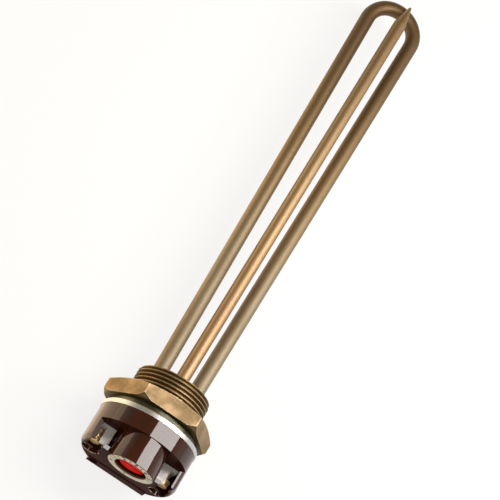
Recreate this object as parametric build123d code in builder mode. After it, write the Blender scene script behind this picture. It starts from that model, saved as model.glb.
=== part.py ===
from build123d import *
from math import cos, hypot, radians, sin, sqrt, tan
import os

os.makedirs("parts", exist_ok=True)

# Screw-in immersion heater: a hairpin element and a rod thermostat on one brass plug.
# Millimetres. Y is the axis of the screw thread, with the hairpin towards +Y and the
# terminal head towards -Y. The origin is the middle of the hexagon's sealing face.
# Z points to the open side of the head, where the dial's boss and the terminals face.

# Brass screw plug, with the pipe thread as a plain cylinder of its major diameter
thread_r = 20.955
thread_length = 14.0
thread_lead_in = 1.0
hex_across_flats = 55.0
hex_thickness = 9.0
seat_face_r = 27.2
seat_chamfer_angle = 20.0
back_face_r = 29.6
back_chamfer_angle = 45.0

# Hairpin heating element
immersed_length = 285.5
sheath_r = 4.25
sheath_wall = 0.8
leg_spacing = 22.1
leg_splay = 0.9
bend_start = 2.0
set_radius = 80.0
sheath_tail = 4.0
packing_gap = 0.05
coil_r = 1.75
coil_bore_r = 1.15
coil_cold_run = 24.0
pin_r = 1.2
pin_reach = 11.0
seal_length = 3.0
seal_r = 4.0

# Thermostat pocket beside the hairpin, and the rod thermostat in it
pocket_r = 3.75
pocket_wall = 0.55
pocket_x = 0.5
pocket_z = 4.0
pocket_lean = 1.0
pocket_heading = 70.0
pocket_back_from_tip = 4.0
pinch_length = 12.0
pinch_half_width = 0.9
pinch_half_depth = 2.7
stem_r = 2.9
stem_wall = 0.5
stem_back_from_pocket = 26.0
stem_end_wall = 3.0
stem_flange_r = 4.7
stem_flange_thickness = 1.2
rod_r = 1.2

# Pressed metal base of the head, with the bright rim that grips the housing
sheet = 0.8
collar_height = 3.6
rim_height = 2.8
base_bend_r = 0.5

# Moulded housing of the head
housing_r = 27.7
housing_wall = 2.3
housing_height = 24.45
end_edge_r = 4.0
rim_stand = 0.25
collar_inset = 2.4
back_flat_inset = 6.7
flat_below_rim = 2.0
band_height = 9.4
roof_thickness = 1.8
end_wall = 2.25
front_inset = 17.2
chamber_width = 11.8
chamber_back_z = -9.0
chamber_wall = 2.2
core_front_z = 1.0
rear_pad_side_inset = 0.45
rear_pad_depth = 6.8
rear_pad_rise = 0.45
rear_pad_height = 4.0

# Dial boss and adjuster
boss_r = 13.0
boss_wall = 3.0
boss_rise = 2.85
flare_r = 13.7
flare_length = 8.5
flare_taper = 1.6
flare_overhang = 0.1
boss_cavity_depth = 8.0
dial_lip = 0.5
scale_thickness = 0.8
scale_bore_r = 8.9
dial_recess_depth = 4.1
knob_r = 7.35
knob_thickness = 2.7
knob_sunk = 1.0
knob_slot_width = 2.0
knob_slot_depth = 1.2
bush_r = 4.0
bush_length = 5.0
spindle_r = 2.0
spindle_neck_r = 1.4
spindle_thread_run_in = 1.0
running_gap = 0.06

# Terminals
terminal_inset = 4.6
terminal_z = -3.4
access_r = 4.85
access_slot_width = 7.2
plate_thickness = 1.2
foot_thickness = 1.5
foot_clearance = 0.5
upright_inset = 1.2
upright_front_z = 5.2
upright_width = 4.9
upright_length = 8.7
screw_r = 1.75
screw_reach = 7.4
screw_back = 1.2
screw_head_r = 3.1
screw_head_height = 2.6
screw_slot_width = 0.8
screw_slot_depth = 1.2
washer_r = 3.6
washer_thickness = 0.8
washer_gap = 0.1
hole_gap = 0.25
thread_gap = 0.05

# Switch inside the head
base_plate_thickness = 1.2
base_plate_half_width = 5.6
base_plate_corner_r = 1.5
base_plate_low_inset = 5.3
base_plate_high_inset = 3.8
base_screw_low_inset = 3.6
base_screw_high_inset = 4.1
base_screw_r = 2.0
base_screw_length = 5.5
base_screw_head_r = 3.5
base_screw_head_height = 2.2
block_half_width = 3.5
block_depth = 6.4
blade_from_screw = 7.4
blade_y = -17.0
blade_thickness = 0.4
blade_half_width = 2.8
blade_tail = 3.0
blade_gap = 0.1
rod_gap = 0.35
spindle_tip_gap = 0.3
contact_inset = 1.5
contact_r = 1.8
contact_height = 1.0
contact_gap = 0.05
fixed_contact_height = 0.55
fixed_strip_reach = 3.0
fixed_strip_bend_z = 6.0
fixed_strip_turn_x = 3.5
strip_thickness = 0.8
strip_half_width = 2.5
link_inset = 3.4
rivet_r = 1.2
rivet_head_r = 2.3
rivet_head_height = 0.9

# Long screw that holds the housing to the plug
housing_screw_side_inset = 3.2
housing_screw_back_inset = 4.2
housing_screw_r = 1.5
housing_screw_depth = 10.5
housing_screw_head_r = 2.3
housing_screw_head_height = 2.0
housing_screw_grip = 4.0
housing_screw_access_r = 2.6

# Stations along the axis that follow from the sizes above
plug_back_y = -hex_thickness
base_floor_y = plug_back_y - sheet
plate_floor_y = base_floor_y - base_plate_thickness
collar_end_y = plug_back_y - collar_height
rim_shoulder_y = collar_end_y - sheet
rim_end_y = collar_end_y - rim_height
housing_end_y = rim_end_y - housing_height + rim_height - sheet
band_end_y = rim_end_y - band_height
roof_y = band_end_y + roof_thickness
chamber_end_y = housing_end_y + end_wall
dial_face_y = housing_end_y - boss_rise
sheath_end_y = plug_back_y - sheath_tail
pin_end_y = plug_back_y - pin_reach
set_y = thread_length + bend_start
foot_y = band_end_y - foot_thickness
link_y = blade_y - blade_thickness - blade_gap
link_end_y = link_y - strip_thickness
contact_face_y = blade_y - blade_thickness - contact_height
fixed_plate_y = contact_face_y - contact_gap - fixed_contact_height

# Places across the axis that follow from the sizes above
leg_x = leg_spacing / 2
cavity_r = housing_r - housing_wall
rim_r = housing_r + rim_stand
collar_r = housing_r - collar_inset
back_flat_z = back_flat_inset - housing_r
front_z = housing_r - front_inset
chamber_inner_x = cavity_r - chamber_width
core_half_width = chamber_inner_x - chamber_wall
rear_pad_half_width = sqrt(housing_r**2 - back_flat_z**2) - rear_pad_side_inset
dial_z = housing_r + flare_overhang - flare_r
terminal_x = cavity_r - terminal_inset
upright_inner_x = chamber_inner_x + upright_inset
link_x = chamber_inner_x + link_inset
fixed_strip_inner_x = link_x - fixed_strip_reach
base_plate_low_z = base_plate_low_inset - collar_r
base_plate_high_z = collar_r - base_plate_high_inset
base_screw_low_z = base_plate_low_z + base_screw_low_inset
base_screw_high_z = base_plate_high_z - base_screw_high_inset
blade_z = base_screw_low_z + blade_from_screw
contact_z = base_plate_high_z - contact_inset
housing_screw_x = housing_screw_side_inset - rear_pad_half_width
housing_screw_z = back_flat_z + housing_screw_back_inset


def across(y):
    """Plane across the axis at y: its x is X, its y is Z, and it extrudes towards the head."""
    return Plane(origin=(0, y, 0), x_dir=(1, 0, 0), z_dir=(0, -1, 0))


def save(piece, label):
    piece.part.label = label
    export_step(piece.part, "parts/" + label + ".step")


# The path of the hairpin: each leg leaves the plug straight, is set outwards by the
# splay angle, and meets the tip bend on a tangent.
splay = radians(leg_splay)
set_x = leg_x + set_radius * (1 - cos(splay))
set_end_y = set_y + set_radius * sin(splay)
tip_share = (1 + sin(splay)) / cos(splay)
leg_run = (immersed_length - sheath_r - set_end_y - set_x * tip_share) / (
    cos(splay) + sin(splay) * tip_share
)


def leg_point(run, side):
    """Point on a leg's centre line, measured along it from the end of its set."""
    return (side * (set_x + run * sin(splay)), set_end_y + run * cos(splay))


def leg_lead(start_y, side):
    """Straight stretch through the plug and the small arc that sets the leg outwards."""
    half = splay / 2
    middle = (leg_x + set_radius * (1 - cos(half)), set_y + set_radius * sin(half))
    Line((side * leg_x, start_y), (side * leg_x, set_y))
    ThreePointArc((side * leg_x, set_y), (side * middle[0], middle[1]), leg_point(0, side))


tip_radius = leg_point(leg_run, 1)[0] / cos(splay)
tip_y = leg_point(leg_run, 1)[1] + tip_radius * sin(splay) + tip_radius


def hairpin_path(start_y):
    with BuildLine() as path:
        leg_lead(start_y, 1)
        Line(leg_point(0, 1), leg_point(leg_run, 1))
        ThreePointArc(leg_point(leg_run, 1), (0, tip_y), leg_point(leg_run, -1))
        Line(leg_point(leg_run, -1), leg_point(0, -1))
        leg_lead(start_y, -1)
    return path.wire()


def coil_path(run):
    with BuildLine() as path:
        Line(leg_point(run, 1), leg_point(leg_run, 1))
        ThreePointArc(leg_point(leg_run, 1), (0, tip_y), leg_point(leg_run, -1))
        Line(leg_point(leg_run, -1), leg_point(run, -1))
    return path.wire()


def pin_path(start_y, side, run):
    with BuildLine() as path:
        leg_lead(start_y, side)
        Line(leg_point(0, side), leg_point(run, side))
    return path.wire()


def start_plane(path):
    return Plane(origin=path @ 0, z_dir=path % 0)


# The pocket's path lies in its own plane, which holds the axis and the lean.
heading = radians(pocket_heading)
lean = radians(pocket_lean)
pocket_plane = Plane(
    origin=(pocket_x, 0, pocket_z),
    x_dir=(cos(heading), 0, sin(heading)),
    z_dir=(-sin(heading), 0, cos(heading)),
)
pocket_end_y = immersed_length - pocket_back_from_tip
lean_end_y = set_y + set_radius * sin(lean)


def lean_offset(y):
    return set_radius * (1 - cos(lean)) + (y - lean_end_y) * tan(lean)


def pocket_path(start_y, end_y):
    half = lean / 2
    middle = (set_radius * (1 - cos(half)), set_y + set_radius * sin(half))
    with BuildLine(pocket_plane) as path:
        Line((0, start_y), (0, set_y))
        ThreePointArc((0, set_y), middle, (lean_offset(lean_end_y), lean_end_y))
        Line((lean_offset(lean_end_y), lean_end_y), (lean_offset(end_y), end_y))
    return path.wire()


# Screw plug: turned from hexagon bar, chamfered at both faces, drilled for the three tubes
hex_corner_r = hex_across_flats / 2 / cos(radians(30))
seat_drop = (hex_corner_r - seat_face_r) * tan(radians(seat_chamfer_angle))
back_drop = (hex_corner_r - back_face_r) * tan(radians(back_chamfer_angle))
with BuildPart() as screw_plug:
    with BuildSketch(across(0)):
        RegularPolygon(hex_across_flats / 2, 6, major_radius=False)
    extrude(amount=hex_thickness)
    with BuildSketch(Plane.XY):
        with BuildLine():
            Polyline(
                (0, 0),
                (seat_face_r, 0),
                (hex_corner_r, -seat_drop),
                (hex_corner_r, -hex_thickness + back_drop),
                (back_face_r, -hex_thickness),
                (0, -hex_thickness),
                close=True,
            )
        make_face()
    revolve(axis=Axis.Y, mode=Mode.INTERSECT)
    with BuildSketch(across(0)):
        Circle(thread_r)
    extrude(amount=-thread_length)
    thread_end = screw_plug.faces().sort_by(Axis.Y)[-1]
    chamfer(thread_end.edges(), thread_lead_in)
    with BuildSketch(across(thread_length)):
        with Locations((leg_x, 0), (-leg_x, 0)):
            Circle(sheath_r + packing_gap)
        with Locations((pocket_x, pocket_z)):
            Circle(pocket_r + packing_gap)
    extrude(amount=thread_length + hex_thickness, mode=Mode.SUBTRACT)
    with BuildSketch(across(plug_back_y)):
        with Locations((0, base_screw_low_z), (0, base_screw_high_z)):
            Circle(base_screw_r + thread_gap)
    extrude(amount=-base_screw_length - thread_gap, mode=Mode.SUBTRACT)
    with BuildSketch(across(plug_back_y)):
        with Locations((housing_screw_x, housing_screw_z)):
            Circle(housing_screw_r + thread_gap)
    extrude(amount=-housing_screw_grip - thread_gap, mode=Mode.SUBTRACT)
save(screw_plug, "screw_plug")

# Element sheath: one tube bent into a hairpin
sheath_bore_r = sheath_r - sheath_wall
sheath_path = hairpin_path(sheath_end_y)
with BuildPart() as element_sheath:
    with BuildSketch(start_plane(sheath_path)):
        Circle(sheath_r)
        Circle(sheath_bore_r, mode=Mode.SUBTRACT)
    sweep(path=sheath_path)
save(element_sheath, "element_sheath")

# Packed oxide powder in the sheath, with the tunnel of the coil and of the cold pins
fill_start_y = sheath_end_y + packing_gap
fill_path = hairpin_path(fill_start_y)
tunnel_path = coil_path(coil_cold_run)
with BuildPart() as mineral_fill:
    with BuildSketch(start_plane(fill_path)):
        Circle(sheath_bore_r - packing_gap)
    sweep(path=fill_path)
    with BuildSketch(start_plane(tunnel_path)):
        Circle(coil_r + packing_gap)
    sweep(path=tunnel_path, mode=Mode.SUBTRACT)
    for side in (1, -1):
        bore_path = pin_path(fill_start_y, side, coil_cold_run)
        with BuildSketch(start_plane(bore_path)):
            Circle(pin_r + packing_gap)
        sweep(path=bore_path, mode=Mode.SUBTRACT)
save(mineral_fill, "mineral_fill")

# Resistance coil, as the tube that its close turns fill
with BuildPart() as resistance_coil:
    with BuildSketch(start_plane(tunnel_path)):
        Circle(coil_r)
        Circle(coil_bore_r, mode=Mode.SUBTRACT)
    sweep(path=tunnel_path)
save(resistance_coil, "resistance_coil")

# Cold pins that carry the current out of the sheath, and the seals round them
for side, name in ((-1, "left"), (1, "right")):
    path = pin_path(pin_end_y, side, coil_cold_run)
    with BuildPart() as cold_pin:
        with BuildSketch(start_plane(path)):
            Circle(pin_r)
        sweep(path=path)
    save(cold_pin, "cold_pin_" + name)

    with BuildPart() as end_seal:
        with BuildSketch(across(sheath_end_y)):
            with Locations((side * leg_x, 0)):
                Circle(seal_r)
                Circle(pin_r + packing_gap, mode=Mode.SUBTRACT)
        extrude(amount=seal_length)
        seal_rim = end_seal.edges().filter_by(GeomType.CIRCLE).sort_by(SortBy.RADIUS)[-2:]
        chamfer(seal_rim.sort_by(Axis.Y)[0], seal_length / 4)
    save(end_seal, "end_seal_" + name)

# Thermostat pocket: a straight tube with its far end pinched shut over the hairpin's bend
pocket_start_y = base_floor_y + packing_gap
pinch_start_y = pocket_end_y - pinch_length
outer_path = pocket_path(pocket_start_y, pinch_start_y)
pinch_frame = Plane(origin=outer_path @ 1, x_dir=(1, 0, 0), z_dir=outer_path % 1)
with BuildPart() as thermostat_pocket:
    with BuildSketch(start_plane(outer_path)):
        Circle(pocket_r)
    sweep(path=outer_path)
    with BuildSketch(pinch_frame):
        Circle(pocket_r)
    with BuildSketch(pinch_frame.offset(pinch_length)):
        Ellipse(pinch_half_width, pinch_half_depth)
    loft()
    with BuildSketch(start_plane(outer_path)):
        Circle(pocket_r - pocket_wall)
    sweep(path=outer_path, mode=Mode.SUBTRACT)
save(thermostat_pocket, "thermostat_pocket")

# Sensing tube of the thermostat, flanged onto the base plate and closed at its far end
stem_end_y = pocket_end_y - stem_back_from_pocket
stem_path = pocket_path(plate_floor_y, stem_end_y)
stem_bore_path = pocket_path(plate_floor_y - stem_flange_thickness, stem_end_y - stem_end_wall)
with BuildPart() as sensing_tube:
    with BuildSketch(start_plane(stem_path)):
        Circle(stem_r)
    sweep(path=stem_path)
    with BuildSketch(across(plate_floor_y)):
        with Locations((pocket_x, pocket_z)):
            Circle(stem_flange_r)
    extrude(amount=stem_flange_thickness)
    with BuildSketch(start_plane(stem_bore_path)):
        Circle(stem_r - stem_wall)
    sweep(path=stem_bore_path, mode=Mode.SUBTRACT)
save(sensing_tube, "sensing_tube")

# Low-expansion rod, which pushes the switch blade as the tube round it shortens
rod_start_y = blade_y + rod_gap
rod_path = pocket_path(rod_start_y, stem_end_y - stem_end_wall)
with BuildPart() as expansion_rod:
    with BuildSketch(start_plane(rod_path)):
        Circle(rod_r)
    sweep(path=rod_path)
save(expansion_rod, "expansion_rod")

# Head base: one pressed cup, whose outer rim takes the housing
with BuildPart() as head_base:
    with BuildSketch(Plane.XY):
        with BuildLine():
            Polyline(
                (0, plug_back_y),
                (collar_r, plug_back_y),
                (collar_r, collar_end_y),
                (rim_r, collar_end_y),
                (rim_r, rim_end_y),
                (rim_r - sheet, rim_end_y),
                (rim_r - sheet, rim_shoulder_y),
                (collar_r - sheet, rim_shoulder_y),
                (collar_r - sheet, base_floor_y),
                (0, base_floor_y),
                close=True,
            )
        base_section = make_face()
        bends = [
            corner
            for corner in base_section.vertices()
            if corner.X > 1 and abs(corner.Y - rim_end_y) > 0.1
        ]
        fillet(bends, base_bend_r)
    revolve(axis=Axis.Y)
    with BuildSketch(across(plug_back_y)):
        with Locations((leg_x, 0), (-leg_x, 0)):
            Circle(sheath_r + hole_gap)
        with Locations((pocket_x, pocket_z)):
            Circle(pocket_r + packing_gap)
        with Locations((0, base_screw_low_z), (0, base_screw_high_z)):
            Circle(base_screw_r + hole_gap)
        with Locations((housing_screw_x, housing_screw_z)):
            Circle(housing_screw_r + hole_gap)
    extrude(amount=sheet, mode=Mode.SUBTRACT)
save(head_base, "head_base")

# Base plate of the thermostat
with BuildPart() as thermostat_plate:
    with BuildSketch(across(base_floor_y)):
        with Locations((0, (base_plate_low_z + base_plate_high_z) / 2)):
            RectangleRounded(
                2 * base_plate_half_width,
                base_plate_high_z - base_plate_low_z,
                base_plate_corner_r,
            )
        with Locations((pocket_x, pocket_z)):
            Circle(stem_r + packing_gap, mode=Mode.SUBTRACT)
        with Locations((0, base_screw_low_z), (0, base_screw_high_z)):
            Circle(base_screw_r + hole_gap, mode=Mode.SUBTRACT)
    extrude(amount=base_plate_thickness)
save(thermostat_plate, "thermostat_plate")

# Two screws that hold the base plate and the head base to the plug
with BuildPart() as base_screws:
    with BuildSketch(across(plate_floor_y)):
        with Locations((0, base_screw_low_z), (0, base_screw_high_z)):
            Circle(base_screw_r)
    extrude(amount=-(base_plate_thickness + sheet + base_screw_length))
    with BuildSketch(across(plate_floor_y)):
        with Locations((0, base_screw_low_z), (0, base_screw_high_z)):
            Circle(base_screw_head_r)
    extrude(amount=base_screw_head_height)
    with BuildSketch(across(plate_floor_y - base_screw_head_height)):
        with Locations((0, base_screw_low_z), (0, base_screw_high_z)):
            Rectangle(2 * base_screw_head_r, screw_slot_width)
    extrude(amount=-screw_slot_depth, mode=Mode.SUBTRACT)
save(base_screws, "base_screws")

# Insulating block that carries the blade, and the rivet through it
with BuildPart() as blade_block:
    with BuildSketch(across(plate_floor_y)):
        with Locations((0, blade_z)):
            Rectangle(2 * block_half_width, block_depth)
            Circle(rivet_r + thread_gap, mode=Mode.SUBTRACT)
    extrude(amount=plate_floor_y - blade_y - blade_gap)
save(blade_block, "blade_block")

with BuildPart() as blade_rivet:
    with BuildSketch(across(plate_floor_y)):
        with Locations((0, blade_z)):
            Circle(rivet_r)
    extrude(amount=plate_floor_y - link_end_y)
    with BuildSketch(across(link_end_y)):
        with Locations((0, blade_z)):
            Circle(rivet_head_r)
    extrude(amount=rivet_head_height)
save(blade_rivet, "blade_rivet")

# Spring blade of the switch, with its silver contact
with BuildPart() as contact_blade:
    with BuildSketch(across(blade_y)):
        with BuildLine():
            Polyline(
                (-blade_half_width, blade_z - blade_tail),
                (blade_half_width, blade_z - blade_tail),
                (blade_half_width, contact_z - blade_tail),
                (contact_r, contact_z + contact_r),
                (-contact_r, contact_z + contact_r),
                (-blade_half_width, contact_z - blade_tail),
                close=True,
            )
        make_face()
        with Locations((0, blade_z)):
            Circle(rivet_r + hole_gap, mode=Mode.SUBTRACT)
    extrude(amount=blade_thickness)
    with BuildSketch(across(blade_y - blade_thickness)):
        with Locations((0, contact_z)):
            Circle(contact_r)
    extrude(amount=contact_height)
save(contact_blade, "contact_blade")

# Link from the right cold pin to the blade
link_length = hypot(leg_x, blade_z)
link_turn = Vector(leg_x, -blade_z).get_angle(Vector(1, 0))
with BuildPart() as switch_link:
    with BuildSketch(across(link_y)):
        with Locations((leg_x / 2, blade_z / 2)):
            SlotCenterToCenter(link_length, 2 * strip_half_width, rotation=link_turn)
        with Locations((leg_x, 0)):
            Circle(pin_r + thread_gap, mode=Mode.SUBTRACT)
        with Locations((0, blade_z)):
            Circle(rivet_r + thread_gap, mode=Mode.SUBTRACT)
    extrude(amount=strip_thickness)
save(switch_link, "switch_link")

# Link from the left cold pin down to the left terminal
with BuildPart() as element_link:
    with BuildSketch(across(link_y)):
        with Locations((-(leg_x + link_x) / 2, 0)):
            Rectangle(link_x - leg_x + strip_thickness, 2 * strip_half_width)
        with Locations((-leg_x, 0)):
            Circle(strip_half_width)
            Circle(pin_r + thread_gap, mode=Mode.SUBTRACT)
    extrude(amount=strip_thickness)
    with BuildSketch(across(link_y)):
        with Locations((-link_x, 0)):
            Rectangle(strip_thickness, 2 * strip_half_width)
    extrude(amount=link_y - band_end_y)
save(element_link, "element_link")

# Fixed contact: a strip from the right terminal to the silver contact below the blade
with BuildPart() as fixed_contact:
    with BuildSketch(across(fixed_plate_y)):
        with BuildLine():
            Polyline(
                (fixed_strip_inner_x, -strip_half_width),
                (link_x + strip_thickness / 2, -strip_half_width),
                (link_x + strip_thickness / 2, fixed_strip_bend_z),
                (2 * strip_half_width, contact_z + strip_half_width),
                (-strip_half_width, contact_z + strip_half_width),
                (-strip_half_width, contact_z - strip_half_width),
                (fixed_strip_turn_x, contact_z - strip_half_width),
                (fixed_strip_inner_x, fixed_strip_bend_z - strip_half_width),
                close=True,
            )
        make_face()
    extrude(amount=strip_thickness)
    with BuildSketch(across(fixed_plate_y)):
        with Locations((link_x, 0)):
            Rectangle(strip_thickness, 2 * strip_half_width)
    extrude(amount=fixed_plate_y - band_end_y)
    with BuildSketch(across(fixed_plate_y)):
        with Locations((0, contact_z)):
            Circle(contact_r)
    extrude(amount=-(contact_face_y - contact_gap - fixed_plate_y))
save(fixed_contact, "fixed_contact")

# Terminals: a threaded foot under the chamber's roof, an upright guard plate beside the
# screw, a clamp washer and the screw, all once on each side
foot_back_z = chamber_back_z + foot_clearance
foot_outer_x = sqrt(cavity_r**2 - foot_back_z**2) - foot_clearance
screw_head_y = foot_y - screw_reach + foot_thickness + screw_back
for side, name in ((-1, "left"), (1, "right")):
    with BuildPart() as terminal:
        with BuildSketch(across(band_end_y)):
            with Locations(
                (
                    side * (foot_outer_x + upright_inner_x) / 2,
                    (foot_back_z + upright_front_z) / 2,
                )
            ):
                Rectangle(foot_outer_x - upright_inner_x, upright_front_z - foot_back_z)
            with Locations((side * terminal_x, terminal_z)):
                Circle(screw_r + thread_gap, mode=Mode.SUBTRACT)
        extrude(amount=foot_thickness)
        with BuildSketch(across(foot_y)):
            with Locations(
                (
                    side * (upright_inner_x + upright_width / 2),
                    upright_front_z - plate_thickness / 2,
                )
            ):
                Rectangle(upright_width, plate_thickness)
        extrude(amount=upright_length)
    save(terminal, "terminal_" + name)

    with BuildPart() as clamp_washer:
        with BuildSketch(across(screw_head_y + washer_gap + washer_thickness)):
            with Locations((side * terminal_x, terminal_z)):
                Circle(washer_r)
                Circle(screw_r + hole_gap, mode=Mode.SUBTRACT)
        extrude(amount=washer_thickness)
    save(clamp_washer, "clamp_washer_" + name)

    with BuildPart() as terminal_screw:
        with BuildSketch(across(screw_head_y)):
            with Locations((side * terminal_x, terminal_z)):
                Circle(screw_r)
        extrude(amount=-screw_reach)
        with BuildSketch(across(screw_head_y)):
            with Locations((side * terminal_x, terminal_z)):
                Circle(screw_head_r)
        extrude(amount=screw_head_height)
        head_face = terminal_screw.faces().sort_by(Axis.Y)[0]
        fillet(head_face.edges(), screw_head_height / 6)
        with BuildSketch(across(screw_head_y - screw_head_height)):
            with Locations((side * terminal_x, terminal_z)):
                Rectangle(2 * screw_head_r, screw_slot_width)
        extrude(amount=-screw_slot_depth, mode=Mode.SUBTRACT)
    save(terminal_screw, "terminal_screw_" + name)

# Housing: a turned outer form with a flat back, a cavity over the plug, two terminal
# chambers that are open in front, and the boss of the dial
spigot_r = rim_r - sheet - packing_gap
cut_reach = 2 * housing_r
with BuildPart() as housing:
    with BuildSketch(Plane.XY):
        with BuildLine():
            Polyline(
                (0, rim_shoulder_y),
                (spigot_r - base_bend_r, rim_shoulder_y),
                (spigot_r, rim_shoulder_y - base_bend_r),
                (spigot_r, rim_end_y),
                (housing_r, rim_end_y),
                (housing_r, housing_end_y + end_edge_r),
            )
            RadiusArc(
                (housing_r, housing_end_y + end_edge_r),
                (housing_r - end_edge_r, housing_end_y),
                end_edge_r,
            )
            Polyline((housing_r - end_edge_r, housing_end_y), (0, housing_end_y), (0, rim_shoulder_y))
        make_face()
    revolve(axis=Axis.Y)
    # Flat back, below the round stretch that the rim takes
    with BuildSketch(across(rim_end_y - flat_below_rim)):
        with Locations((0, back_flat_z - cut_reach / 2)):
            Rectangle(2 * cut_reach, cut_reach)
    extrude(amount=cut_reach, mode=Mode.SUBTRACT)
    # Square pad along the flat back, which stands out of the rounded end
    with BuildSketch(across(housing_end_y + rear_pad_height - rear_pad_rise)):
        with Locations((0, back_flat_z + rear_pad_depth / 2)):
            Rectangle(2 * rear_pad_half_width, rear_pad_depth)
    extrude(amount=rear_pad_height)
    # Open front beside the boss
    with BuildSketch(across(band_end_y)):
        with Locations((0, front_z + cut_reach / 2)):
            Rectangle(2 * cut_reach, cut_reach)
    extrude(amount=cut_reach, mode=Mode.SUBTRACT)
    # Boss of the dial, flared towards its face
    with BuildSketch(Plane.XY.offset(dial_z)):
        with BuildLine():
            Polyline(
                (0, roof_y),
                (boss_r, roof_y),
                (boss_r, dial_face_y + flare_length),
                (flare_r, dial_face_y + flare_length - flare_taper),
                (flare_r, dial_face_y),
                (0, dial_face_y),
                close=True,
            )
        make_face()
    revolve(axis=Axis((0, 0, dial_z), (0, 1, 0)))
    # Cavity over the plug, and the core behind the boss
    with BuildSketch(across(rim_shoulder_y)):
        Circle(cavity_r)
        with Locations((0, back_flat_z + housing_wall - cut_reach / 2)):
            Rectangle(2 * cut_reach, cut_reach, mode=Mode.SUBTRACT)
    extrude(amount=rim_shoulder_y - roof_y, mode=Mode.SUBTRACT)
    with BuildSketch(across(roof_y)):
        with Locations((0, (back_flat_z + housing_wall + core_front_z) / 2)):
            Rectangle(2 * core_half_width, core_front_z - back_flat_z - housing_wall)
    extrude(amount=roof_y - chamber_end_y, mode=Mode.SUBTRACT)
    with BuildSketch(across(roof_y)):
        with Locations((0, dial_z)):
            Circle(boss_r - boss_wall)
    extrude(amount=boss_cavity_depth, mode=Mode.SUBTRACT)
    # Terminal chambers, with the slots and holes through their roofs, and with the access
    # hole of each screw open to the front through a slot in the end wall
    for side in (1, -1):
        with BuildSketch(across(band_end_y)):
            Circle(cavity_r)
            with Locations((side * (chamber_inner_x + cut_reach / 2), chamber_back_z + cut_reach / 2)):
                Rectangle(cut_reach, cut_reach, mode=Mode.INTERSECT)
        extrude(amount=band_end_y - chamber_end_y, mode=Mode.SUBTRACT)
        with BuildSketch(across(roof_y)):
            with Locations((side * link_x, 0)):
                Rectangle(strip_thickness + 2 * hole_gap, 2 * (strip_half_width + hole_gap))
            with Locations((side * terminal_x, terminal_z)):
                Circle(screw_r + 2 * hole_gap)
        extrude(amount=roof_thickness, mode=Mode.SUBTRACT)
        with BuildSketch(across(chamber_end_y)):
            with Locations((side * terminal_x, terminal_z)):
                Circle(access_r)
            with Locations((side * terminal_x, (terminal_z + front_z) / 2)):
                Rectangle(access_slot_width, front_z - terminal_z)
        extrude(amount=end_wall, mode=Mode.SUBTRACT)
    # Dial recess, seat of the scale ring and bore of the bush
    with BuildSketch(across(dial_face_y)):
        with Locations((0, dial_z)):
            Circle(flare_r - dial_lip)
    extrude(amount=-scale_thickness, mode=Mode.SUBTRACT)
    with BuildSketch(across(dial_face_y)):
        with Locations((0, dial_z)):
            Circle(scale_bore_r)
    extrude(amount=-dial_recess_depth, mode=Mode.SUBTRACT)
    with BuildSketch(across(roof_y)):
        with Locations((0, dial_z)):
            Circle(bush_r + packing_gap)
    extrude(amount=roof_y - dial_face_y, mode=Mode.SUBTRACT)
    # Deep hole of the housing screw, seen as a round hole in the rear pad
    with BuildSketch(across(rim_shoulder_y)):
        with Locations((housing_screw_x, housing_screw_z)):
            Circle(housing_screw_r + hole_gap)
    extrude(amount=cut_reach, mode=Mode.SUBTRACT)
    with BuildSketch(across(housing_end_y + housing_screw_depth)):
        with Locations((housing_screw_x, housing_screw_z)):
            Circle(housing_screw_access_r)
    extrude(amount=cut_reach, mode=Mode.SUBTRACT)
save(housing, "housing")

with BuildPart() as housing_screw:
    with BuildSketch(across(plug_back_y + housing_screw_grip)):
        with Locations((housing_screw_x, housing_screw_z)):
            Circle(housing_screw_r)
    extrude(amount=plug_back_y + housing_screw_grip - housing_end_y - housing_screw_depth)
    with BuildSketch(across(housing_end_y + housing_screw_depth)):
        with Locations((housing_screw_x, housing_screw_z)):
            Circle(housing_screw_head_r)
    extrude(amount=housing_screw_head_height)
    with BuildSketch(across(housing_end_y + housing_screw_depth - housing_screw_head_height)):
        with Locations((housing_screw_x, housing_screw_z)):
            Rectangle(2 * housing_screw_head_r, screw_slot_width)
    extrude(amount=-screw_slot_depth, mode=Mode.SUBTRACT)
save(housing_screw, "housing_screw")

# Scale ring let into the face of the boss
with BuildPart() as scale_ring:
    with BuildSketch(across(dial_face_y + scale_thickness)):
        with Locations((0, dial_z)):
            Circle(flare_r - dial_lip - packing_gap)
            Circle(scale_bore_r, mode=Mode.SUBTRACT)
    extrude(amount=scale_thickness)
save(scale_ring, "scale_ring")

# Adjuster: a threaded bush in the boss, the spindle that turns in it, and the red knob
recess_floor_y = dial_face_y + dial_recess_depth
knob_face_y = dial_face_y + knob_sunk
knob_back_y = knob_face_y + knob_thickness
spindle_end_y = knob_back_y - knob_thickness / 2
with BuildPart() as adjuster_bush:
    with BuildSketch(across(recess_floor_y + bush_length)):
        with Locations((0, dial_z)):
            Circle(bush_r)
            Circle(spindle_r + running_gap, mode=Mode.SUBTRACT)
    extrude(amount=bush_length)
save(adjuster_bush, "adjuster_bush")

with BuildPart() as adjuster_spindle:
    with BuildSketch(across(blade_y - blade_thickness - spindle_tip_gap)):
        with Locations((0, dial_z)):
            Circle(spindle_neck_r)
    extrude(amount=blade_y - blade_thickness - spindle_tip_gap - spindle_end_y)
    with BuildSketch(across(recess_floor_y + bush_length + spindle_thread_run_in)):
        with Locations((0, dial_z)):
            Circle(spindle_r)
    extrude(amount=recess_floor_y + bush_length + spindle_thread_run_in - knob_back_y)
save(adjuster_spindle, "adjuster_spindle")

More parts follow.
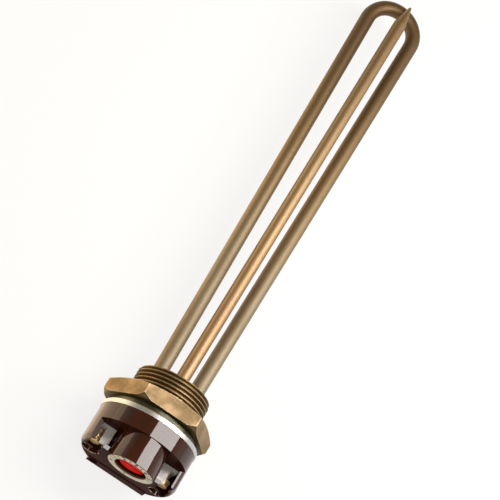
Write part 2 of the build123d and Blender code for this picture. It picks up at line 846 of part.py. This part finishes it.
with BuildPart() as adjuster_knob:
    with BuildSketch(across(knob_back_y)):
        with Locations((0, dial_z)):
            Circle(knob_r)
    extrude(amount=knob_thickness)
    knob_face = adjuster_knob.faces().sort_by(Axis.Y)[0]
    fillet(knob_face.edges(), knob_thickness / 6)
    with BuildSketch(across(knob_face_y)):
        with Locations((0, dial_z)):
            Rectangle(2 * knob_r, knob_slot_width)
    extrude(amount=-knob_slot_depth, mode=Mode.SUBTRACT)
    with BuildSketch(across(knob_back_y)):
        with Locations((0, dial_z)):
            Circle(spindle_neck_r + thread_gap)
    extrude(amount=knob_thickness / 2 + thread_gap, mode=Mode.SUBTRACT)
save(adjuster_knob, "adjuster_knob")
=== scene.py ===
import math

import bpy
from mathutils import Matrix, Vector


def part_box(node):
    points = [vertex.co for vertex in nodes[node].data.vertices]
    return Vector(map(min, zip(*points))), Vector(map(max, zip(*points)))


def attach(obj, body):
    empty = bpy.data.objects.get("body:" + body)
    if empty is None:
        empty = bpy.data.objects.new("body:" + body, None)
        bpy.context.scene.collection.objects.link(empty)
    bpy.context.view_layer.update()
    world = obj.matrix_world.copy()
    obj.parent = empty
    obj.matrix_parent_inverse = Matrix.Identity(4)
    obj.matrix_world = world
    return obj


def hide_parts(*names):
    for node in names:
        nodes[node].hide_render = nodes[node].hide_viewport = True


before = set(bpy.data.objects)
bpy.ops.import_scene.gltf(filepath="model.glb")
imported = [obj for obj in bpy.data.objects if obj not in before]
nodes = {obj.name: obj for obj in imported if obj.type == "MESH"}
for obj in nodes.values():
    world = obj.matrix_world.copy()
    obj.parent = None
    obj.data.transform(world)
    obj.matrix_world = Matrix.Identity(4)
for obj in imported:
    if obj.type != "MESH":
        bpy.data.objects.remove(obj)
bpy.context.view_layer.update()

# Screw plug: one brass forging with a hexagon and a parallel male pipe thread, machined all
# over and left bare, so that its skin dulls. The helix is modelled here over a copy of the
# CAD plug, whose plain cylinder is drawn in to the thread's root.

thread_pitch = 0.002309
thread_crest = 0.020955
thread_root = 0.019476
thread_core = 0.0192
thread_flat = 0.10
thread_start = 0.0013
thread_finish = 0.0136
thread_turns = 8
thread_steps = 96
thread_lead_in = 0.975
hex_thickness = 0.009
hex_corner_r = 0.031754
hex_seat_r = 0.0272
hex_seat_slope = 0.364
hex_back_r = 0.0296
hex_edge_glint_width = 0.00028


class Wire:
    """An output of a finish's nodes. Arithmetic on it adds Math nodes."""

    def __init__(self, finish, socket):
        self.finish = finish
        self.socket = socket

    def join(self, operation, first, second):
        return self.finish.node("ShaderNodeMath", {"operation": operation}, {0: first, 1: second})

    def __add__(self, other):
        return self.join("ADD", self, other)

    def __sub__(self, other):
        return self.join("SUBTRACT", self, other)

    def __rsub__(self, other):
        return self.join("SUBTRACT", other, self)

    def __mul__(self, other):
        return self.join("MULTIPLY", self, other)

    def __pow__(self, other):
        return self.join("POWER", self, other)

    __radd__ = __add__
    __rmul__ = __mul__


class Finish:
    """The surface of one kind of piece: a metal, a moulding or a print."""

    def __init__(self, name, fixed):
        self.material = bpy.data.materials.new(name)
        self.material.use_nodes = True
        self.tree = self.material.node_tree
        self.shader = self.tree.nodes["Principled BSDF"]
        self.place = self.node("ShaderNodeTexCoord", {}, {}, "Object")
        self.wear(fixed)

    def node(self, kind, settings, sockets, output=0):
        made = self.tree.nodes.new(kind)
        for name, value in settings.items():
            setattr(made, name, value)
        for name, value in sockets.items():
            self.feed(made.inputs[name], value)
        return Wire(self, made.outputs[output])

    def feed(self, socket, value):
        if isinstance(value, Wire):
            self.tree.links.new(value.socket, socket)
        else:
            socket.default_value = value

    def wear(self, sockets):
        """Gives the shader's own sockets their values or wires."""
        for name, value in sockets.items():
            self.feed(self.shader.inputs[name], value)

    def axes(self):
        sockets = {0: self.place}
        return [self.node("ShaderNodeSeparateXYZ", {}, sockets, axis) for axis in "XYZ"]

    def grain(self, per_metre, detail=3.0):
        """Cloudy noise from 0 to 1, with its own number of cells a metre along each axis."""
        stretched = self.node("ShaderNodeMapping", {}, {"Vector": self.place, "Scale": per_metre})
        sockets = {"Vector": stretched, "Scale": 1.0, "Detail": detail}
        return self.node("ShaderNodeTexNoise", {}, sockets)

    def fade(self, value, low, high):
        """A smooth step from 0 at low to 1 at high."""
        sockets = {"Value": value, "From Min": low, "From Max": high}
        return self.node("ShaderNodeMapRange", {"interpolation_type": "SMOOTHSTEP"}, sockets)

    def above(self, value):
        """The value where it is positive, and 0 elsewhere."""
        return self.node("ShaderNodeMath", {"operation": "MAXIMUM"}, {0: value, 1: 0.0})

    def near(self, value, width):
        """1 where the value is 0, fading to 0 at the width on either side."""
        size = self.node("ShaderNodeMath", {"operation": "ABSOLUTE"}, {0: value})
        return 1 - self.fade(size, width * 0.3, width)

    def blend(self, share, first, second):
        """From the first colour to the second one."""
        return self.node("ShaderNodeMix", {"data_type": "RGBA"}, {0: share, 6: first, 7: second}, 2)

    def relief(self, height, depth):
        sockets = {"Height": height, "Distance": depth, "Strength": 1.0}
        return self.node("ShaderNodeBump", {}, sockets)

    def on(self, *pieces):
        for piece in pieces:
            piece.data.materials.clear()
            piece.data.materials.append(self.material)


def alone(piece):
    """Makes one piece the only one selected."""
    bpy.ops.object.select_all(action="DESELECT")
    bpy.context.view_layer.objects.active = piece
    piece.select_set(True)


def edit(piece):
    alone(piece)
    bpy.ops.object.mode_set(mode="EDIT")
    bpy.ops.mesh.select_mode(type="VERT")
    bpy.ops.mesh.select_all(action="SELECT")


def pick(piece, wanted):
    """In edit mode, selects the vertices whose place passes the test."""
    bpy.ops.mesh.select_all(action="DESELECT")
    bpy.ops.object.mode_set(mode="OBJECT")
    for vertex in piece.data.vertices:
        vertex.select = wanted(vertex.co)
    bpy.ops.object.mode_set(mode="EDIT")


def leave(piece, angle):
    """Back from edit mode, smooth but for edges sharper than the angle."""
    bpy.ops.mesh.select_all(action="SELECT")
    bpy.ops.mesh.normals_make_consistent(inside=False)
    bpy.ops.object.mode_set(mode="OBJECT")
    bpy.ops.object.shade_smooth_by_angle(angle=math.radians(angle))


def from_axis(place):
    return math.hypot(place.x, place.z)


def round_axis(scale):
    return (scale, 1, scale)


plug = bpy.data.objects.new("plug", nodes["screw_plug"].data.copy())
bpy.context.scene.collection.objects.link(plug)
edit(plug)
bpy.ops.mesh.customdata_custom_splitnormals_clear()
bpy.ops.mesh.remove_doubles(threshold=1e-6)
pick(plug, lambda place: place.y > -1e-5 and 0.0198 < from_axis(place) < 0.0211)
bpy.ops.transform.resize(value=round_axis(thread_root / thread_crest), center_override=(0, 0, 0))
leave(plug, 25)

bpy.ops.mesh.primitive_circle_add(vertices=4, radius=thread_pitch / 2)
thread = bpy.context.object
thread.name = "thread"
tooth = [
    (thread_core, -0.5),
    (thread_crest, -thread_flat),
    (thread_crest, thread_flat),
    (thread_core, 0.5),
]
for vertex, (reach, turn) in zip(thread.data.vertices, tooth):
    vertex.co = (reach, (turn - 1) * thread_pitch, 0)
winding = thread.modifiers.new("winding", "SCREW")
winding.axis = "Y"
winding.screw_offset = thread_pitch
winding.iterations = thread_turns
winding.steps = thread_steps
winding.render_steps = thread_steps
alone(thread)
bpy.ops.object.modifier_apply(modifier=winding.name)
edit(thread)
bpy.ops.mesh.remove_doubles(threshold=1e-6)
bpy.ops.mesh.bisect(
    plane_co=(0, thread_start, 0), plane_no=(0, 1, 0), use_fill=True, clear_inner=True
)
bpy.ops.mesh.select_all(action="SELECT")
bpy.ops.mesh.bisect(
    plane_co=(0, thread_finish, 0), plane_no=(0, 1, 0), use_fill=True, clear_outer=True
)
pick(thread, lambda place: place.y > thread_finish - thread_pitch / 2 and from_axis(place) > thread_root)
bpy.ops.transform.resize(value=round_axis(thread_lead_in), center_override=(0, 0, 0))
leave(thread, 30)

brass = Finish("plug_brass", {"Metallic": 1.0})
across, along, up = brass.axes()
reach = (across * across + up * up) ** 0.5
tarnish = brass.fade(brass.grain((90, 90, 90)), 0.35, 0.65)
scuff = brass.fade(brass.grain((700, 700, 700), 6), 0.5, 0.75)
groove = (1 - brass.fade(reach, 0.0193, 0.0206)) * brass.fade(along, 0.0, 0.0004)
seat_edge = along + hex_seat_slope * (reach - hex_seat_r)
back_edge = along + hex_thickness - brass.above(reach - hex_back_r)
corner = 1 - brass.fade(hex_corner_r - reach, 0.0001, 0.0004)
facing = brass.node("ShaderNodeTexCoord", {}, {}, "Normal")
shaded_back = brass.fade(brass.node("ShaderNodeSeparateXYZ", {}, {0: facing}, "Y") * -1, 0.3, 0.7)
# Rubbed wear and a painted edge highlight: pale bands along the hexagon's seat chamfer, back edge and
# corners.
rubbed_glint = brass.near(seat_edge, hex_edge_glint_width) + brass.near(back_edge, hex_edge_glint_width) + corner
rubbed_glint = rubbed_glint * brass.fade(brass.grain((900, 900, 900), 4), 0.3, 0.5)
skin = brass.blend(tarnish, (0.37, 0.255, 0.145, 1), (0.26, 0.18, 0.09, 1))
skin = brass.blend(scuff * 0.5, skin, (0.55, 0.42, 0.26, 1))
skin = brass.blend(groove * 0.85, skin, (0.10, 0.06, 0.02, 1))
skin = brass.blend(rubbed_glint * 0.8, skin, (0.60, 0.49, 0.33, 1))
# Painted shade: faces turned to -Y, at the back of the hexagon and its chamfer, are darkened.
skin = brass.blend(shaded_back * 0.9, skin, (0.12, 0.085, 0.035, 1))
brass.wear({
    "Base Color": skin,
    "Roughness": 0.5 + 0.14 * tarnish + 0.1 * scuff,
    "Normal": brass.relief(brass.grain((1600, 1600, 1600), 5), 0.00003),
})
brass.on(plug, thread)
for piece in (plug, thread):
    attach(piece, "fixed")
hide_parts("screw_plug")

# Element sheath: one drawn tube, annealed before it was bent into a hairpin, so that it has
# a bronze brown oxide skin, paler and greyer near the plug where it was cleaned to braze.

sheath = Finish("sheath_metal", {"Metallic": 1.0})
across, along, up = sheath.axes()
cloud = sheath.grain((60, 14, 60))
drawn = sheath.grain((2600, 16, 2600), 4)
bare = 1 - sheath.fade(along + 0.05 * cloud, 0.08, 0.20)
heated = sheath.fade(along + 0.04 * cloud, 0.17, 0.28)
skin = sheath.blend(bare, (0.26, 0.175, 0.085, 1), (0.30, 0.245, 0.165, 1))
skin = sheath.blend(heated, skin, (0.15, 0.09, 0.04, 1))
skin = sheath.blend(sheath.fade(cloud, 0.5, 0.72) * 0.4, skin, (0.18, 0.11, 0.045, 1))
skin = sheath.blend(drawn * 0.25, skin, (0.42, 0.34, 0.24, 1))
sheath.wear({
    "Base Color": skin,
    "Roughness": 0.50 + 0.12 * cloud + 0.05 * bare,
    "Normal": sheath.relief(drawn, 0.00002),
})
sheath.on(nodes["element_sheath"])

# Thermostat pocket: a drawn copper-alloy tube, pinched flat at its far end and left bare. It
# is brazed into the plug beside the hairpin's legs, with the same ring of braze round each.

copper = Finish("pocket_copper", {"Metallic": 1.0})
across, along, up = copper.axes()
cloud = copper.grain((70, 18, 70))
drawn = copper.grain((2400, 14, 2400), 4)
heat = copper.fade(copper.grain((160, 60, 160), 4), 0.45, 0.62)
skin = copper.blend(cloud, (0.42, 0.29, 0.155, 1), (0.34, 0.215, 0.10, 1))
skin = copper.blend(heat * (1 - copper.fade(along, 0.03, 0.12)) * 0.6, skin, (0.36, 0.19, 0.12, 1))
skin = copper.blend(copper.fade(along, 0.15, 0.27) * 0.6, skin, (0.22, 0.13, 0.055, 1))
skin = copper.blend(drawn * 0.3, skin, (0.56, 0.45, 0.31, 1))
copper.wear({
    "Base Color": skin,
    "Roughness": 0.44 + 0.12 * cloud,
    "Normal": copper.relief(drawn, 0.00002),
})
copper.on(nodes["thermostat_pocket"])

braze = Finish("braze", {"Metallic": 1.0})
flow = braze.grain((900, 900, 900), 4)
braze.wear({
    "Base Color": braze.blend(flow, (0.62, 0.52, 0.34, 1), (0.40, 0.30, 0.16, 1)),
    "Roughness": 0.35 + 0.2 * flow,
    "Normal": braze.relief(flow, 0.00015),
})
thread_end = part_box("screw_plug")[1].y
leg_x = 0.01105
leg_r = 0.00425
pocket_r = 0.00375
pocket_place = (0.0005, 0.004)
braze_foot = 0.0011
braze_rise = 0.0012


def braze_ring(name, tube_r, place):
    """A meniscus of filler round a tube: a cone hollowed in its middle."""
    bpy.ops.mesh.primitive_cone_add(
        vertices=64,
        radius1=tube_r + braze_foot,
        radius2=tube_r,
        depth=braze_rise,
        end_fill_type="NOTHING",
        location=(place[0], thread_end + braze_rise / 2, place[1]),
        rotation=(math.radians(-90), 0, 0),
    )
    ring = bpy.context.object
    ring.name = name
    alone(ring)
    bpy.ops.object.transform_apply(location=True, rotation=True, scale=True)
    edit(ring)
    bpy.ops.mesh.subdivide(number_cuts=3)
    middle = thread_end + braze_rise / 2
    pick(ring, lambda spot: abs(spot.y - middle) < braze_rise * 0.4)
    bpy.ops.transform.resize(
        value=round_axis(1 - 0.22 * braze_foot / tube_r), center_override=(place[0], middle, place[1])
    )
    leave(ring, 60)
    braze.on(ring)
    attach(ring, "fixed")


braze_ring("braze_left", leg_r, (-leg_x, 0))
braze_ring("braze_right", leg_r, (leg_x, 0))
braze_ring("braze_pocket", pocket_r, pocket_place)

# Inside of the element: packed magnesia powder, the wound resistance wire, the cold pins
# that bring the current in, and a moulded silicone seal round each pin.

oxide = Finish("oxide", {"Roughness": 0.95})
crumb = oxide.grain((2200, 2200, 2200), 6)
oxide.wear({
    "Base Color": oxide.blend(crumb, (0.86, 0.85, 0.81, 1), (0.72, 0.70, 0.65, 1)),
    "Normal": oxide.relief(crumb, 0.0001),
})
oxide.on(nodes["mineral_fill"])


def metal(name, pale, deep, rough, per_metre, depth, bare=1.0):
    """A metal with its own grain, from a pale to a deep tone of one colour."""
    finish = Finish(name, {"Metallic": bare})
    lay = finish.grain(per_metre, 4)
    spots = finish.fade(finish.grain((260, 260, 260)), 0.45, 0.7)
    finish.wear({
        "Base Color": finish.blend(0.6 * lay + 0.4 * spots, pale, deep),
        "Roughness": rough + 0.15 * spots,
        "Normal": finish.relief(lay, depth),
    })
    return finish


coil_wire = metal(
    "coil_wire", (0.50, 0.49, 0.47, 1), (0.30, 0.29, 0.28, 1), 0.4, (3000, 900, 3000), 0.0001
)
plated = metal(
    "plated_steel", (0.68, 0.68, 0.66, 1), (0.52, 0.52, 0.50, 1), 0.3, (900, 900, 900), 0.00002
)
coil_wire.on(nodes["resistance_coil"])
plated.on(nodes["cold_pin_left"], nodes["cold_pin_right"])

silicone = Finish("seal_rubber", {"Specular IOR Level": 0.35})
bloom = silicone.grain((800, 800, 800), 4)
silicone.wear({
    "Base Color": silicone.blend(bloom, (0.62, 0.25, 0.16, 1), (0.52, 0.19, 0.12, 1)),
    "Roughness": 0.5 + 0.2 * bloom,
    "Normal": silicone.relief(bloom, 0.00003),
})
silicone.on(nodes["end_seal_left"], nodes["end_seal_right"])

# Rod thermostat: a drawn brass sensing tube with a low-expansion steel rod in it, whose
# difference in length works the switch through the rod's end.

stem_brass = metal(
    "stem_brass", (0.78, 0.61, 0.32, 1), (0.62, 0.45, 0.20, 1), 0.26, (2200, 20, 2200), 0.00002
)
rod_steel = metal(
    "rod_steel", (0.56, 0.56, 0.56, 1), (0.42, 0.42, 0.42, 1), 0.32, (2200, 20, 2200), 0.00002
)
stem_brass.on(nodes["sensing_tube"], nodes["adjuster_bush"], nodes["adjuster_spindle"])
rod_steel.on(nodes["expansion_rod"])

# Head base: a cup pressed from bright sheet, screwed to the plug, whose rolled rim grips the
# housing. Pressing leaves faint rings round it. The collar under the hexagon is painted dark as shade.

bright = Finish("base_metal", {"Metallic": 1.0})
across, along, up = bright.axes()
rings = bright.grain((40, 5200, 40), 3)
smudge = bright.fade(bright.grain((120, 120, 120), 4), 0.42, 0.68)
collar_shade = bright.fade(along, -0.0128, -0.0122)
skin = bright.blend(smudge, (0.60, 0.61, 0.61, 1), (0.40, 0.43, 0.46, 1))
# Painted shade: the collar under the hexagon is darkened to near black.
skin = bright.blend(collar_shade * 0.96, skin, (0.095, 0.09, 0.05, 1))
bright.wear({
    "Base Color": skin,
    "Roughness": 0.36 + 0.2 * smudge,
    "Normal": bright.relief(rings, 0.00003),
})
bright.on(nodes["head_base"])

# Switch: a plated base plate with its two screws, an insulating block, and a sprung bronze
# blade riveted to it with tinned links to the pins and to the terminals.

screw_steel = metal(
    "screw_steel", (0.72, 0.72, 0.70, 1), (0.55, 0.55, 0.53, 1), 0.25, (1400, 1400, 1400), 0.00003
)
spring_bronze = metal(
    "spring_bronze", (0.74, 0.53, 0.30, 1), (0.58, 0.39, 0.20, 1), 0.25, (1800, 30, 60), 0.00002
)
tinned = metal(
    "tinned_brass", (0.68, 0.65, 0.65, 1), (0.54, 0.51, 0.52, 1), 0.55, (500, 500, 500), 0.00004, 0.5
)
plated.on(nodes["thermostat_plate"])
screw_steel.on(nodes["base_screws"], nodes["blade_rivet"], nodes["housing_screw"])
spring_bronze.on(nodes["contact_blade"])
tinned.on(
    nodes["switch_link"],
    nodes["element_link"],
    nodes["fixed_contact"],
    nodes["terminal_left"],
    nodes["terminal_right"],
)

# Terminal screws and clamp washers: turned from bright brass rod, slotted, one pair on each
# side, in line with the access holes.

screw_brass = metal(
    "screw_brass", (1.0, 0.78, 0.40, 1), (0.82, 0.58, 0.24, 1), 0.3, (2400, 300, 2400), 0.00002, 0.6
)
screw_brass.on(
    nodes["terminal_screw_left"],
    nodes["terminal_screw_right"],
    nodes["clamp_washer_left"],
    nodes["clamp_washer_right"],
)

# Housing: one phenolic moulding, pressed in a polished mould, so that it is glossy, with a
# slight orange peel and flow marks in its red-brown colour. Its end is duller than its
# sides. The boss of the dial is drawn to one even draft from its face to the band.

dial_x = 0.0
dial_z = 0.0141
boss_rings = ((-0.0338, 0.0137, 0.01335), (-0.0322, 0.0130, 0.0132))
access_x = 0.0208
access_z = -0.0034
access_r = 0.00485
end_level = -0.03785
front_level = 0.0105
back_level = -0.0210
wall_middle_r = 0.0264

housing = bpy.data.objects.new("moulded_housing", nodes["housing"].data.copy())
bpy.context.scene.collection.objects.link(housing)
edit(housing)
bpy.ops.mesh.customdata_custom_splitnormals_clear()
bpy.ops.mesh.remove_doubles(threshold=1e-6)
for level, found_r, drawn_r in boss_rings:
    pick(housing, lambda spot: abs(spot.y - level) < 2e-5
         and abs(math.hypot(spot.x - dial_x, spot.z - dial_z) - found_r) < 1e-4)
    bpy.ops.transform.resize(
        value=round_axis(drawn_r / found_r), center_override=(dial_x, level, dial_z)
    )
leave(housing, 32)
evened = housing.modifiers.new("evened", "WEIGHTED_NORMAL")
evened.keep_sharp = True
alone(housing)
bpy.ops.object.modifier_apply(modifier=evened.name)

moulding = Finish(
    "dark_moulding", {"Coat IOR": 1.5, "Coat Roughness": 0.05, "Specular IOR Level": 0.0}
)
across, along, up = moulding.axes()
facing = moulding.node("ShaderNodeTexCoord", {}, {}, "Normal")
to_end = moulding.fade(moulding.node("ShaderNodeSeparateXYZ", {}, {0: facing}, "Y") * -1, 0.6, 0.95)
to_front = moulding.fade(moulding.node("ShaderNodeSeparateXYZ", {}, {0: facing}, "Z"), 0.9, 0.98)
flow = moulding.fade(moulding.grain((90, 40, 90), 4), 0.35, 0.7)
peel = moulding.grain((420, 420, 420), 1)
dust = moulding.fade(moulding.grain((2600, 2600, 2600), 2), 0.66, 0.74)
side = moulding.node("ShaderNodeMath", {"operation": "ABSOLUTE"}, {0: across}) - access_x
from_access = (side * side + (up - access_z) * (up - access_z)) ** 0.5
# Pale rims round the access holes and along the back edge of the end pad: rubbing, and a painted
# highlight on their rounded edges.
wear_and_glint = moulding.near(from_access - access_r, 0.0007) * moulding.near(along - end_level, 0.0006)
wear_and_glint = wear_and_glint + moulding.near(up - back_level, 0.0007) * moulding.near(along - end_level, 0.004)
wear_and_glint = wear_and_glint * moulding.fade(moulding.grain((700, 700, 700), 3), 0.42, 0.58)
reach = (across * across + up * up) ** 0.5
right = moulding.fade(across, -0.020, -0.016)
inner = 1 - moulding.fade(reach, wall_middle_r - 0.0002, wall_middle_r + 0.0002)
ground = to_front * moulding.near(up - front_level, 0.001) * (1 - right * inner)
skin = moulding.blend(flow, (0.046, 0.011, 0.006, 1), (0.026, 0.007, 0.004, 1))
skin = moulding.blend(wear_and_glint * 0.8, skin, (0.62, 0.55, 0.38, 1))
moulding.wear({
    "Base Color": moulding.blend(dust * 0.15, skin, (0.20, 0.13, 0.09, 1)),
    "Roughness": 0.3 + 0.1 * flow + 0.2 * dust,
    "Coat Weight": (1 - 0.9 * to_end) * (1 - 0.4 * dust) * (1 - 0.85 * ground),
    "Normal": moulding.relief(peel, 0.00006),
})
moulding.on(housing, nodes["blade_block"])
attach(housing, "fixed")
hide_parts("housing")

# Scale ring: a stamped disc with a cream enamel face and dark printed figures from 1 to 5,
# ticks between them and a dot at the lowest setting, let into the face of the boss.

ring_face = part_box("scale_ring")[0].y
print_lift = 0.00003
figure_size = 0.0042
figure_weight = 0.00022
figure_step = 36
mark_radius = 0.0110
tick_length = 0.0024
tick_width = 0.0006
tick_angles = (-90, -54, -18, 18, 54, 90, 180)
dot_radius = 0.0010

enamel = Finish("scale_cream", {})
yellowing = enamel.grain((350, 350, 350), 4)
across, along, up = enamel.axes()
rise = up - dial_z
spread = (across * across + rise * rise) ** 0.5
skin = enamel.blend(yellowing, (0.66, 0.63, 0.50, 1), (0.50, 0.46, 0.33, 1))
border = enamel.near(spread - 0.0089, 0.0006) + enamel.near(spread - 0.0132, 0.0007)
enamel.wear({
    "Base Color": enamel.blend(border * 0.9, skin, (0.05, 0.03, 0.02, 1)),
    "Roughness": 0.35 + 0.2 * yellowing,
    "Normal": enamel.relief(yellowing, 0.00002),
})
enamel.on(nodes["scale_ring"])

ink = Finish("scale_ink", {})
wear_and_glint = ink.grain((1500, 1500, 1500), 4)
ink.wear({
    "Base Color": ink.blend(ink.fade(wear_and_glint, 0.6, 0.8), (0.03, 0.02, 0.018, 1), (0.30, 0.25, 0.2, 1)),
    "Roughness": 0.4 + 0.2 * wear_and_glint,
})

marks = []


def print_at(mark, angle, radius):
    """Turns a mark that faces the viewer of the dial, and sets it on the ring."""
    alone(mark)
    if mark.type != "MESH":
        bpy.ops.object.convert(target="MESH")
    turn = Matrix.Rotation(math.radians(angle), 4, "Y")
    away = Matrix.Translation((0, 0, radius))
    stand = Matrix.Rotation(math.radians(90), 4, "X")
    place = Matrix.Translation((dial_x, ring_face - print_lift, dial_z))
    mark.matrix_world = place @ turn @ away @ stand
    bpy.ops.object.transform_apply(location=True, rotation=True, scale=True)
    marks.append(mark)


for step in range(5):
    bpy.ops.object.text_add()
    figure = bpy.context.object
    figure.data.body = str(step + 1)
    figure.data.size = figure_size
    figure.data.align_x = "CENTER"
    figure.data.align_y = "CENTER"
    figure.data.offset = figure_weight
    print_at(figure, (step - 2) * figure_step, mark_radius)
for angle in tick_angles:
    bpy.ops.mesh.primitive_plane_add(size=1)
    tick = bpy.context.object
    edit(tick)
    bpy.ops.transform.resize(value=(tick_width, tick_length, 1))
    bpy.ops.mesh.bevel(offset=tick_width / 4, segments=2, affect="VERTICES")
    bpy.ops.object.mode_set(mode="OBJECT")
    print_at(tick, angle, mark_radius)
bpy.ops.mesh.primitive_circle_add(vertices=24, radius=dot_radius, fill_type="NGON")
print_at(bpy.context.object, -110, mark_radius)
alone(marks[0])
for mark in marks:
    mark.select_set(True)
bpy.ops.object.join()
scale_print = bpy.context.object
scale_print.name = "scale_print"
ink.on(scale_print)
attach(scale_print, "fixed")

# Adjuster knob: a slotted disc moulded in red and pressed onto the brass spindle. Its
# surface is glossy, and a screwdriver has scuffed the slot.

knob_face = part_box("adjuster_knob")[0].y
knob_worn = 0.0007

knob = bpy.data.objects.new("knob", nodes["adjuster_knob"].data.copy())
bpy.context.scene.collection.objects.link(knob)
edit(knob)
bpy.ops.mesh.customdata_custom_splitnormals_clear()
bpy.ops.mesh.remove_doubles(threshold=1e-6)
pick(knob, lambda spot: spot.y < knob_face + 0.0006)
bpy.ops.transform.translate(value=(0, knob_worn, 0))
leave(knob, 30)

red = Finish("knob_red", {"Coat IOR": 1.4, "Coat Roughness": 0.1, "Specular IOR Level": 0.0})
scuff = red.fade(red.grain((1300, 1300, 1300), 5), 0.55, 0.75)
red.wear({
    "Base Color": red.blend(scuff * 0.4, (0.70, 0.018, 0.012, 1), (0.78, 0.09, 0.04, 1)),
    "Roughness": 0.3 + 0.25 * scuff,
    "Coat Weight": 0.2 - 0.1 * scuff,
    "Normal": red.relief(red.grain((600, 600, 600), 2), 0.00003),
})
red.on(knob)
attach(knob, "adjuster")
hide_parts("adjuster_knob")

# Studio: a white floor just under the head's rim, a pale horizon with a dim ceiling, a long
# soft lamp over the right side and a small one beyond it, and a warm card on the left.

floor_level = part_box("head_base")[0].z - 0.0003
bpy.ops.mesh.primitive_plane_add(size=6, location=(0, 0.1, floor_level))
floor = bpy.context.object
floor.name = "floor"
paper = bpy.data.materials.new("paper")
paper.use_nodes = True
tree = paper.node_tree
shade = tree.nodes["Principled BSDF"]
shade.inputs["Base Color"].default_value = (0.93, 0.93, 0.93, 1)
shade.inputs["Roughness"].default_value = 0.9
shade.inputs["Specular IOR Level"].default_value = 0.1
glow = tree.nodes.new("ShaderNodeEmission")
glow.inputs["Strength"].default_value = 1.0
rays = tree.nodes.new("ShaderNodeLightPath")
seen = tree.nodes.new("ShaderNodeMath")
shown = tree.nodes.new("ShaderNodeMath")
share = tree.nodes.new("ShaderNodeMath")
share.operation = "MULTIPLY"
share.inputs[1].default_value = 0.8
joint = tree.nodes.new("ShaderNodeMixShader")
tree.links.new(rays.outputs["Is Camera Ray"], seen.inputs[0])
tree.links.new(rays.outputs["Is Glossy Ray"], seen.inputs[1])
tree.links.new(seen.outputs[0], shown.inputs[0])
tree.links.new(rays.outputs["Is Transmission Ray"], shown.inputs[1])
tree.links.new(shown.outputs[0], share.inputs[0])
tree.links.new(share.outputs[0], joint.inputs[0])
tree.links.new(shade.outputs[0], joint.inputs[1])
tree.links.new(glow.outputs[0], joint.inputs[2])
tree.links.new(joint.outputs[0], tree.nodes["Material Output"].inputs["Surface"])
floor.data.materials.append(paper)

world = bpy.data.worlds.new("studio")
bpy.context.scene.world = world
world.use_nodes = True
tree = world.node_tree
sky = tree.nodes["Background"]
direction = tree.nodes.new("ShaderNodeTexCoord")
split = tree.nodes.new("ShaderNodeSeparateXYZ")
height = tree.nodes.new("ShaderNodeMapRange")
height.interpolation_type = "SMOOTHSTEP"
height.inputs["From Min"].default_value = 0.1
height.inputs["From Max"].default_value = 0.7
ceiling = tree.nodes.new("ShaderNodeMix")
ceiling.data_type = "RGBA"
ceiling.inputs[6].default_value = (0.70, 0.67, 0.61, 1)
ceiling.inputs[7].default_value = (0.24, 0.18, 0.09, 1)
tree.links.new(direction.outputs["Generated"], split.inputs[0])
tree.links.new(split.outputs["Z"], height.inputs["Value"])
tree.links.new(height.outputs[0], ceiling.inputs[0])
tree.links.new(ceiling.outputs[2], sky.inputs["Color"])


def lamp(name, place, target, across, along, radiance, colour):
    """A soft rectangular lamp that faces its target, with its own Y side along the object."""
    light = bpy.data.lights.new(name, "AREA")
    light.shape = "RECTANGLE"
    light.size = across
    light.size_y = along
    light.energy = math.pi * across * along * radiance
    light.color = colour
    holder = bpy.data.objects.new(name, light)
    bpy.context.scene.collection.objects.link(holder)
    back = (Vector(place) - Vector(target)).normalized()
    side = Vector((0, 1, 0)).cross(back).normalized()
    turn = Matrix((side, back.cross(side), back)).transposed().to_4x4()
    holder.matrix_world = Matrix.Translation(place) @ turn
    holder.visible_camera = False


lamp("right_lamp", (0.268, 0.205, 0.496), (0, 0.205, 0), 0.62, 0.18, 10.5, (1.0, 0.96, 0.93))
lamp("far_lamp", (0.544, 0.43, 0.254), (0, 0.43, 0), 0.30, 0.26, 1.5, (1.0, 0.96, 0.90))
lamp("front_lamp", (-0.05, -0.20, 0.58), (0, -0.03, 0), 0.40, 0.25, 2.6, (1.0, 0.98, 0.95))
card_level = floor_level + 0.0005
lamp("floor_card", (-0.23, 0.05, card_level), (-0.23, 0.05, 1), 0.39, 0.40, 1.1, (1.0, 0.58, 0.14))
lamp("side_card", (-0.43, 0.16, 0.045), (0, 0.16, 0.045), 0.14, 0.46, 1.5, (1.0, 0.78, 0.42))

# Camera: above the head's end, a little to the left, with the view that the photograph has.

bpy.ops.object.camera_add()
camera = bpy.context.object
camera.data.sensor_width = 36.0
camera.data.lens = 136.96
camera.matrix_world = Matrix((
    (0.8169, -0.5623, -0.1280, -0.1349),
    (0.4713, 0.7789, -0.4138, -0.3215),
    (0.3324, 0.2777, 0.9013, 0.9247),
    (0, 0, 0, 1),
))
bpy.context.scene.camera = camera
bpy.context.scene.view_settings.view_transform = "Standard"
